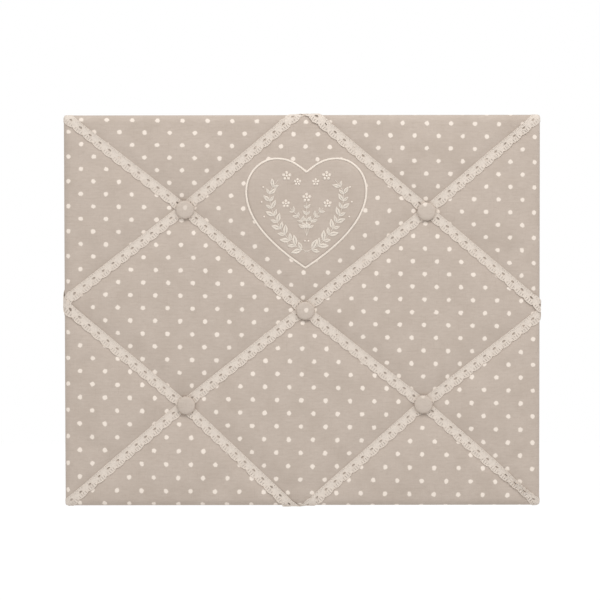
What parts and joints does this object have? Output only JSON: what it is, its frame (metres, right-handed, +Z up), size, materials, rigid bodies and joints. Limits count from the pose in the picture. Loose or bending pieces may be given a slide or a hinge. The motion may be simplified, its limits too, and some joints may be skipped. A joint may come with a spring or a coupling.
{
  "type": "french memo board",
  "caption": "Padded dotted-linen memo board crossed by lace ribbons that covered buttons tie down to hold cards, with a plain heart patch and swinging ring hangers behind.",
  "frame": {"origin": "centre of the back panel's rear face, which lies against the wall", "axes": "+X to the right as seen from the front, +Y towards the wall, +Z up; the padded front faces -Y"},
  "size_m": [0.5538, 0.0286, 0.4558],
  "materials": {
    "dotted_linen": "woven linen with embroidered dots",
    "plain_linen": "plain woven linen",
    "button_linen": "linen stretched over a dome",
    "lace": "ecru cotton edging lace",
    "wadding": "polyester wadding",
    "fibreboard": "raw fibreboard",
    "hardboard": "smooth brown hardboard",
    "tinplate": "tinned sheet",
    "waxed_thread": "waxed linen thread",
    "anchor_plastic": "satin",
    "zinc_steel": "zinc plated"
  },
  "bodies": {
    "board": {"backing_board": "fibreboard", "back_panel": "hardboard", "wadding": "wadding", "fabric_cover": "dotted_linen", "heart_patch": "plain_linen", "lace_long_rising": "lace", "lace_long_falling": "lace", "lace_top_left": "lace", "lace_top_right": "lace", "lace_bottom_left": "lace", "lace_bottom_right": "lace", "button_cover_top_left": "button_linen", "button_shell_top_left": "tinplate", "button_back_top_left": "tinplate", "button_tie_top_left": "waxed_thread", "tie_anchor_top_left": "anchor_plastic", "button_cover_top_right": "button_linen", "button_shell_top_right": "tinplate", "button_back_top_right": "tinplate", "button_tie_top_right": "waxed_thread", "tie_anchor_top_right": "anchor_plastic", "button_cover_middle": "button_linen", "button_shell_middle": "tinplate", "button_back_middle": "tinplate", "button_tie_middle": "waxed_thread", "tie_anchor_middle": "anchor_plastic", "button_cover_bottom_left": "button_linen", "button_shell_bottom_left": "tinplate", "button_back_bottom_left": "tinplate", "button_tie_bottom_left": "waxed_thread", "tie_anchor_bottom_left": "anchor_plastic", "button_cover_bottom_right": "button_linen", "button_shell_bottom_right": "tinplate", "button_back_bottom_right": "tinplate", "button_tie_bottom_right": "waxed_thread", "tie_anchor_bottom_right": "anchor_plastic", "hanger_strap_left": "zinc_steel", "hanger_screw_left": "zinc_steel", "hanger_strap_right": "zinc_steel", "hanger_screw_right": "zinc_steel"},
    "ring_left": {"hanger_ring_left": "zinc_steel"},
    "ring_right": {"hanger_ring_right": "zinc_steel"}
  },
  "joints": [
    {"name": "ring_left_swing", "type": "hinge", "parent": "board", "child": "ring_left", "pos_m": [-0.15, 0.0023, 0.183], "axis": [1, 0, 0], "range_deg": [0, 174]},
    {"name": "ring_right_swing", "type": "hinge", "parent": "board", "child": "ring_right", "pos_m": [0.15, 0.0023, 0.183], "axis": [1, 0, 0], "range_deg": [0, 174]}
  ]
}
